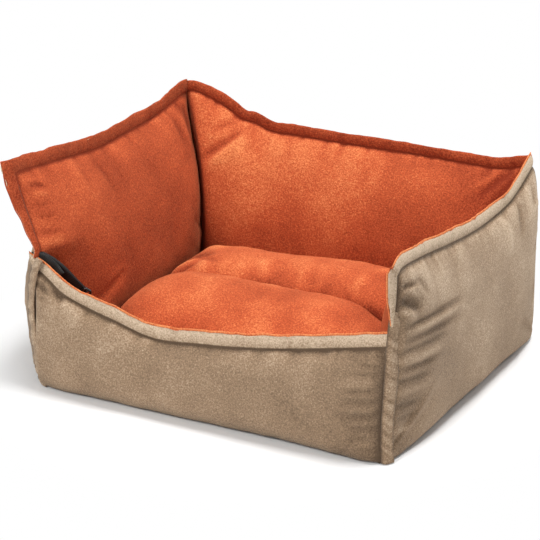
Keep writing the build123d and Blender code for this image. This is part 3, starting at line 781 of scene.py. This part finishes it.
endFlangeBottom = 203.0
wallCloths = {  # by kind: what each panel stands for, its cloth and its slot
    "Lining": (("lining", "filling"), innerVelour, "inner_velour"),
    "Cover": (("cover",), outerVelour, "outer_velour"),
}

for wallName, wallSeed in (("left", 1), ("back", 2), ("right", 3), ("front", 4)):
    wall, made = dressWall(wallName, wallSeed)
    for kind, sign, run, depth, height, foldAndPaintedShading in made:
        core = run.shape[1]
        run, depth, height, foldAndPaintedShading = addFlange(wall, wallSeed, sign, run, depth, height, foldAndPaintedShading)
        cut = None
        if wall["freeEnd"]:  # below the front wall's top the end flange is the corner strip
            extra = run.shape[1] - core

            def cut(row, column, columns=run.shape[1], right=wall["freeEnd"] > 0, heights=height):
                outside = column >= columns - extra - 1 if right else column < extra
                return outside and heights[row, column] < endFlangeBottom
        placed = pulled(onWall(wall, run, depth, height), wallName)
        if wallName + kind == "frontLining":
            placed = clearOfHook(placed)
        standsFor, cloth, slot = wallCloths[kind]
        piece = panelPiece(wallName + kind, "bed", cloth, placed, foldAndPaintedShading,
                           np.array([*wall["inward"], 0.0]) * sign, cut)
        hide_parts(*(f"{wallName}_wall_{layer}" for layer in standsFor))
    print(wallName, "wall made")

# Upright flanges that wrap the two front corners, below the side walls' own end flanges

cornerStrip = dict(bottom=2.0, rows=90, columns=13, thickness=2.2, ruche=1.1)


def wrapStrip(name, side, top, dark, path, seed):  # path is share across, then out and on
    heights = np.linspace(cornerStrip["bottom"], top, cornerStrip["rows"])[:, None]
    across = np.linspace(0, 1, cornerStrip["columns"])[None, :]
    out = through([(p, o) for p, o, _ in path], across) + 0 * heights
    on = through([(p, f) for p, _, f in path], across) + 0 * heights
    if side > 0:
        narrow = 0.78 + 0.22 * ease(heights, 20, 190)
        out, on = out * narrow, 4 + (on - 4) * narrow
        out = out - (4.5 + 3.5 * across) * ease(heights, 90, 215)
        out = out - 5.0 * across * ease(heights, 205, 231)
    slant = heights + 16 * across
    ruche = cornerStrip["ruche"] * ripple(slant, 4.5, seed) * np.sin(np.pi * across) ** 0.6
    sway = 1.6 * ripple(heights, 44, seed + 1) * across
    points = np.stack([side * (halfWidth + out), -halfDepth - on, heights + 0 * across], axis=-1)
    normal = gridNormals(points)
    if np.median(normal[..., 1]) > 0:
        normal = -normal
    points = points + normal * (ruche + 0.5)[..., None]
    points[..., 0] += side * sway
    # painted shade along both edges of the strip, as deep as dark at its root, and painted light
    # and shade on the rises and dips of its gathers
    foldAndPaintedShading = 0.08 + 0.22 * np.clip(ruche, -1, 0.5) - dark * np.exp(-across * 9) - 0.45 * np.exp(
        -(1 - across) * 12)
    piece = panelPiece(name, "bed", outerVelour, pulled(points, "right" if side > 0 else "left"),
                       foldAndPaintedShading, (0, -1, 0), thickness=cornerStrip["thickness"])


wrapStrip("frontRightStrip", 1, 231.0, 0.8, (
    (0, -1, 4), (0.25, 5.5, 3.5), (0.5, 10, 0), (0.75, 14, -5.5), (1, 16.5, -11.5)), 91)
wrapStrip("frontLeftStrip", -1, 206.0, 0.1, (
    (0, -16, 12.5), (0.25, -8, 10), (0.5, -1, 4), (0.75, 3, -5), (1, 4, -14)), 95)
print("corner strips made")

# The loose cushion: two covers sewn round the edge, with one channel sewn across

cushionLook = dict(
    halfWidth=222.0, front=-184.0, back=172.0, bottom=17.5, seam=62.0, channel=4.0, spacing=6.0,
    frontLobe=139.0, backLobe=132.0, valley=74.0, roundness=7.0, fillCap=9.0,
    room=4.5,  # how far the filled sides may bulge past their seam
    # share of each lobe's rise, from the front (-1) by the channel (0) to the back (1)
    frontShape=((-1, 0), (-0.93, 0.42), (-0.75, 0.78), (-0.45, 1), (-0.25, 0.98), (-0.1, 0.78),
                (-0.035, 0.42), (0, 0)),
    backShape=((0, 0), (0.035, 0.38), (0.12, 0.75), (0.3, 0.98), (0.5, 1), (0.78, 0.85),
               (0.94, 0.45), (1, 0)),
    # how full each lobe is, from the left end (-1) to the right (1)
    frontFull=((-1, 0.9), (-0.8, 0.93), (-0.5, 0.97), (0, 0.99), (0.5, 1), (0.66, 0.98),
               (0.76, 0.85), (0.88, 0.72), (1, 0.65)),
    backFull=((-1, 0.86), (-0.6, 0.92), (-0.2, 0.98), (0.2, 1.1), (0.55, 1.14), (0.8, 1.02),
              (1, 0.8)),
)


def cushionTop(y):
    look = cushionLook
    lift = np.where(
        y < 0, through(look["frontShape"], np.minimum(y, 0)) * (look["frontLobe"] - look["valley"]),
        through(look["backShape"], np.maximum(y, 0)) * (look["backLobe"] - look["valley"]))
    return look["valley"] - look["seam"] + lift


def buildCushion():
    look = cushionLook
    columns = int(2 * look["halfWidth"] / look["spacing"]) + 1
    rows = int((look["back"] - look["front"]) / look["spacing"]) + 1
    u, v = np.meshgrid(np.linspace(-1, 1, columns), np.linspace(-1, 1, rows))
    power = look["roundness"]
    edge = np.maximum(np.abs(u), np.abs(v))
    squeeze = edge / np.maximum((np.abs(u) ** power + np.abs(v) ** power) ** (1 / power), 1e-6)
    middle = (look["front"] + look["back"]) / 2
    halfDepth = (look["back"] - look["front"]) / 2
    x = look["halfWidth"] * u * squeeze
    y = middle + halfDepth * v * squeeze
    lobe = np.where(y < look["channel"],
                    (y - look["channel"]) / (look["channel"] - look["front"]),
                    (y - look["channel"]) / (look["back"] - look["channel"]))
    crown = (1 - edge ** 5) ** 0.55
    across = x / look["halfWidth"]
    high = cushionTop(lobe) * np.where(y < look["channel"], through(look["frontFull"], across),
                                       through(look["backFull"], across))
    top = np.stack([x, y, look["seam"] + crown * high], axis=-1)
    belly = (1 - edge ** 6) ** 0.5
    bottom = np.stack([x, y, look["seam"] - belly * (look["seam"] - look["bottom"])], axis=-1)
    held = (edge > 0.999) | (np.abs(y - look["channel"]) < look["spacing"] * 0.51)
    cutTop = top.copy()
    cutTop[..., 0] *= 1.035
    cutTop[..., 2] = look["seam"] + (top[..., 2] - look["seam"]) * 1.05
    top, bottom = inflate("cushion", [top, bottom[:, ::-1]], [cutTop, bottom[:, ::-1]],
                          [held, held[:, ::-1]], look["fillCap"], uniform_pressure_force=2.2)
    return finer(top), finer(bottom[:, ::-1])


cushionFolds = (  # start x, start y, end x, end y, width and rise
    (-216, 16, -160, 40, 5, -4.5), (-216, 34, -150, 62, 5, 3), (-216, 52, -155, 74, 5, -4),
    (-214, 74, -165, 88, 5, -3), (-205, 90, -150, 60, 9, -4), (-195, 120, -150, 95, 8, 3),
    (-180, 60, -130, 40, 8, -3), (-120, 165, -110, 120, 8, -3),
    (-60, 168, -62, 130, 7, -2.6), (10, 166, 0, 120, 9, -2.6),
    (60, 165, 50, 110, 8, 2.4), (120, 164, 100, 110, 9, -3), (160, 150, 125, 80, 10, 3),
    (190, 120, 140, 60, 10, -3), (-40, 20, -60, 60, 10, 2.4), (40, 20, 30, 55, 10, -2),
    (-150, 20, -160, 55, 9, 2.4), (110, 20, 120, 60, 10, 2),
)


def dressCushion():
    look = cushionLook
    top, bottom = buildCushion()
    for kind, points, up in (("Top", top, 1), ("Bottom", bottom, -1)):
        normal = gridNormals(points)
        normal *= np.sign(np.median(normal[..., 2])) * up
        x, y = points[..., 0], points[..., 1]
        row, column = (np.minimum(np.arange(n), np.arange(n)[::-1]) for n in x.shape)
        edge = np.minimum(row[:, None], column[None, :]) * look["spacing"] / 2
        bump = 0 * x
        if up > 0:
            fromChannel = np.abs(y - look["channel"])
            bump += sewnPuckers(x, fromChannel, 205, 1.0)
            bump += sewnPuckers(x, np.abs(look["back"] - y), 215, 0.8)
            bump += foldRise(x, y, cushionFolds)
            bump += 2.2 * cloudy(points, 60.0, 9) + 0.7 * cloudy(points, 24.0, 11)
        else:
            bump += 1.0 * cloudy(points, 50.0, 12)
        bump *= ease(edge, 0, 10)
        # painted shade in the dips of the relief and painted light on its rises
        foldAndPaintedShading = np.clip(bump / 9.0, -0.35, 0.22)
        if up > 0:
            # painted shade along the channel and round the edge, and darker towards the right end
            foldAndPaintedShading = foldAndPaintedShading - 0.8 * np.exp(-fromChannel / 9.0) - 0.5 * np.exp(-edge / 8.0)
            foldAndPaintedShading = foldAndPaintedShading - 0.1 * ease(x, 20, 200)
        points = points + normal * bump[..., None]
        points[..., 2] = np.maximum(points[..., 2], look["bottom"])
        limits = ((-look["halfWidth"], look["halfWidth"]), (look["front"], look["back"]))
        low = points[..., 2] < 100
        for axis, (least, most) in enumerate(limits):
            near = np.clip(points[..., axis], least - look["room"], most + look["room"])
            points[..., axis] = np.where(low, near, points[..., axis])
        cloth, slot = (innerVelour, "inner_velour") if up > 0 else (outerVelour, "outer_velour")
        piece = panelPiece("cushion" + kind, "cushion", cloth, points, foldAndPaintedShading, (0, 0, up))
        if up > 0:
            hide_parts("cushion_top_cover", "cushion_front_filling", "cushion_back_filling")
        else:
            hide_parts("cushion_bottom_cover")


dressCushion()
print("cushion made")

# The floor of the bed

floorLook = dict(width=2 * halfWidth - 8, depth=2 * halfDepth - 8, corner=26.0)


def slab(name, low, high, inset, material, slot, *standsFor):
    bm = bmesh.new()
    bmesh.ops.create_cube(bm, size=1.0)
    bmesh.ops.scale(bm, verts=bm.verts, vec=(
        (floorLook["width"] - 2 * inset) * 0.001, (floorLook["depth"] - 2 * inset) * 0.001,
        (high - low) * 0.001))
    bmesh.ops.translate(bm, verts=bm.verts, vec=(0, 0, (high + low) / 2 * 0.001))
    sides = [e for e in bm.edges if abs(e.verts[0].co.z - e.verts[1].co.z) > 0.0005]
    bmesh.ops.bevel(bm, geom=sides, offset=floorLook["corner"] * 0.001, segments=6,
                    affect="EDGES", profile=0.5, material=-1)
    rims = [e for e in bm.edges if abs(e.verts[0].co.z - e.verts[1].co.z) < 0.0001
            and len(e.link_faces) == 2 and abs(e.link_faces[0].normal.z
                                               - e.link_faces[1].normal.z) > 0.5]
    bmesh.ops.bevel(bm, geom=rims, offset=(high - low) * 0.0003, segments=3, affect="EDGES",
                    profile=0.5, material=-1)
    piece = finish(bm, name, "bed", material, smooth=False)
    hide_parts(*standsFor)


slab("floorPad", 3.2, 16.9, 6.0, innerVelour, "inner_velour", "base_pad", "base_lining")
slab("undersidePanel", 0.0, 3.0, 0.0, underCloth, "underside_cloth", "underside_panel")
print("floor made")

# Tether: doubled webbing in the front left corner

tetherLook = dict(
    width=25.0, thickness=1.6, gap=0.5, spacing=2.5, loopRadius=3.2,
    # the middle of the webbing, from its sewn end to the loop round the swivel eye
    route=((-285, -245.6, 201), (-274, -244, 200.5), (-262, -240.5, 194.5), (-248, -233, 181),
           (-236, -223, 162), (-228, -213.5, 147)),
    slope=(0.682, 0.0, 0.731),  # the way its width lies at the loop; at the seam it is upright
    turned=((0, 0.0), (0.3, 0.2), (0.6, 0.75), (1, 1.0)),  # share of that slope along the route
    flap=0.56,  # share of the route that the loose cut end covers
)


def alongRoute(marks, spacing):
    marks = np.array(marks, float)
    knots = np.linspace(0, 1, len(marks))
    fine = np.linspace(0, 1, 400)
    path = np.stack([through(list(zip(knots, marks[:, i])), fine) for i in range(3)], axis=-1)
    length = travelled(path)[-1]
    return evenly(path, int(length / spacing) + 1), length


def webbingStrip(name, body, path, sides, length):
    # a band along the path, its width along sides, with its own UV map in metres
    bm = bmesh.new()
    across = np.linspace(-0.5, 0.5, 9) * tetherLook["width"]
    points = path[:, None] + sides[:, None] * across[None, :, None]
    addGrid(bm, points)
    layer = bm.loops.layers.uv.new("strap")
    rows, columns = points.shape[:2]
    for face in bm.faces:
        for loop in face.loops:
            row, column = divmod(loop.vert.index, columns)
            loop[layer].uv = (row / (rows - 1) * length * 0.001, across[column] * 0.001)
    piece = finish(bm, name, body, blackWebbing, tetherLook["thickness"], offset=0.0)
    return piece


def buildTether():
    look = tetherLook
    path, length = alongRoute(look["route"], look["spacing"])
    share = np.linspace(0, 1, len(path))
    tangent = np.gradient(path, axis=0)
    tangent /= np.linalg.norm(tangent, axis=1, keepdims=True)
    blend = through(look["turned"], share)[:, None]
    sides = np.array([0.0, 0.0, 1.0]) * (1 - blend) + np.array(look["slope"]) * blend
    sides -= tangent * np.sum(sides * tangent, axis=1, keepdims=True)
    sides /= np.linalg.norm(sides, axis=1, keepdims=True)
    out = np.cross(tangent, sides)
    out *= np.sign(out[:, 1:2])  # into the bed
    apart = (look["thickness"] + look["gap"]) / 2
    # the loop round the eye: the inner layer goes on round the bar and comes back outside
    centre = path[-1] + tangent[-1] * 4.0
    turn = np.linspace(math.pi / 2, -math.pi / 2, 13)
    radius = look["loopRadius"]
    loop = np.array([centre + tangent[-1] * radius * math.cos(t) + out[-1] * radius * math.sin(t)
                     for t in turn])
    loopSides = np.repeat(sides[-1:], len(loop), axis=0)
    count = int(look["flap"] * len(path))
    back = path[::-1] - out[::-1] * apart
    front = path + out * apart
    whole = np.concatenate([front, loop, back[:len(path) - 4]])
    wholeSides = np.concatenate([sides, loopSides, sides[::-1][:len(path) - 4]])
    strap = webbingStrip("tetherStrap", "tether", whole, wholeSides, 2 * length + 10)
    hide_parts("tether_webbing")
    # the loose cut end, on the outside, curling away from the strap
    flapShare = np.linspace(0, 1, count)
    curl = 2.2 + 0.6 * flapShare + 5.5 * ease(flapShare, 0.7, 1.0)
    flap = path[:count] - out[:count] * (apart + curl)[:, None] - sides[:count] * (
        3.0 * ease(flapShare, 0.1, 0.9))[:, None]
    webbingStrip("tetherFlap", "tether", flap[2:], sides[2:count], length * look["flap"])
    # the sewn end against the flange
    tab = path[:6] + np.array([-1.5, 0, -2.0])
    tab[:, 1] = 3.0 - halfDepth
    sewn = webbingStrip("tetherTab", "bed", tab, sides[:6], 12.0)
    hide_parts("tether_tab")


buildTether()
for node, material in (
    ("swivel_eye", blackCoat), ("snap_hook", blackCoat), ("hook_gate", blackCoat),
    ("gate_pin", wireSteel), ("gate_spring", wireSteel),
):
    part = frame["nodes"][node]
    part.data.materials.clear()
    part.data.materials.append(material)
print("tether made")

# Studio

stage = dict(
    azimuth=27.7, elevation=22.6, distance=4.8, target=(0, 0, 0.12),
    # in pixels of the photograph, which is pictureSide wide and high
    pictureSide=540, focal=3160.0, across=10.5, down=16.1,
    # the floor is the background's white from fadeEnd on, in metres from its middle
    fadeStart=0.36, fadeEnd=0.5, worldLight=0.22, aim=(0, 0, 0.15))


def buildStage():
    bm = bmesh.new()
    bmesh.ops.create_grid(bm, x_segments=1, y_segments=1, size=6.0)
    floor = meshObject(bm, "studioFloor")
    material, tree, shader = newMaterial("paleStudioFloor", {
        "Base Color": colour("#f6f6f6"), "Roughness": 0.9})
    # Away from the bed the floor is the white of the background, near it keeps the shadow
    place = addNode(tree, "TexCoord").outputs["Object"]
    away = addNode(tree, "VectorMath", [(0, place)], operation="LENGTH")
    fade = addNode(tree, "MapRange", [
        ("Value", away.outputs["Value"]), ("From Min", stage["fadeStart"]),
        ("From Max", stage["fadeEnd"])], interpolation_type="SMOOTHSTEP")
    path = addNode(tree, "LightPath")
    share = addMath(tree, "MULTIPLY", fade.outputs[0], path.outputs["Is Camera Ray"])
    white = addNode(tree, "Emission", [("Color", (1, 1, 1, 1)), ("Strength", 1.0)])
    mixed = addNode(tree, "MixShader", [(0, share), (1, shader.outputs[0]), (2, white.outputs[0])])
    tree.links.new(mixed.outputs[0], tree.nodes["Material Output"].inputs["Surface"])
    floor.data.materials.append(material)

    world = bpy.data.worlds.new("studio")
    scene.world = world
    world.use_nodes = True
    tree = world.node_tree
    tree.nodes.clear()
    path = addNode(tree, "LightPath")
    seen = addMath(tree, "MAXIMUM", path.outputs["Is Camera Ray"], path.outputs["Is Glossy Ray"])
    seen = addMath(tree, "MAXIMUM", seen, path.outputs["Is Transmission Ray"])
    soft, white = (addNode(tree, "Background", [("Color", (1, 1, 1, 1)), ("Strength", strength)])
                   for strength in (stage["worldLight"], 1.0))
    mixed = addNode(tree, "MixShader", [(0, seen), (1, soft.outputs[0]), (2, white.outputs[0])])
    addNode(tree, "OutputWorld", [("Surface", mixed.outputs[0])])


def areaLight(name, place, size, power):
    light = bpy.data.lights.new(name, "AREA")
    light.shape = "DISK"
    light.size = size
    light.energy = power
    lamp = bpy.data.objects.new(name, light)
    lamp.location = place
    toward = Vector(stage["aim"]) - Vector(place)
    lamp.rotation_euler = toward.to_track_quat("-Z", "Y").to_euler()
    scene.collection.objects.link(lamp)


def buildCamera():
    turn, rise = math.radians(stage["azimuth"]), math.radians(stage["elevation"])
    right = Vector((math.cos(turn), math.sin(turn), 0))
    back = Vector((math.sin(turn) * math.cos(rise), -math.cos(turn) * math.cos(rise),
                   math.sin(rise)))
    up = back.cross(right)
    perMetre = stage["focal"] / stage["distance"]
    look = Vector(stage["target"]) - right * stage["across"] / perMetre + up * stage[
        "down"] / perMetre
    lens = bpy.data.cameras.new("camera")
    lens.sensor_width = 36.0
    lens.lens = stage["focal"] / stage["pictureSide"] * 36
    lens.clip_end = 50
    camera = bpy.data.objects.new("camera", lens)
    camera.location = look + back * stage["distance"]
    camera.rotation_euler = (look - camera.location).to_track_quat("-Z", "Y").to_euler()
    scene.collection.objects.link(camera)
    scene.camera = camera


buildStage()
areaLight("keyLight", (-0.5, -2.5, 1.9), 1.2, 52)
areaLight("topLight", (0.6, 0.3, 3.0), 1.2, 90)
areaLight("sideLight", (2.0, 1.9, 2.2), 0.8, 16)
buildCamera()
scene.view_settings.view_transform = "Standard"
print("studio made")
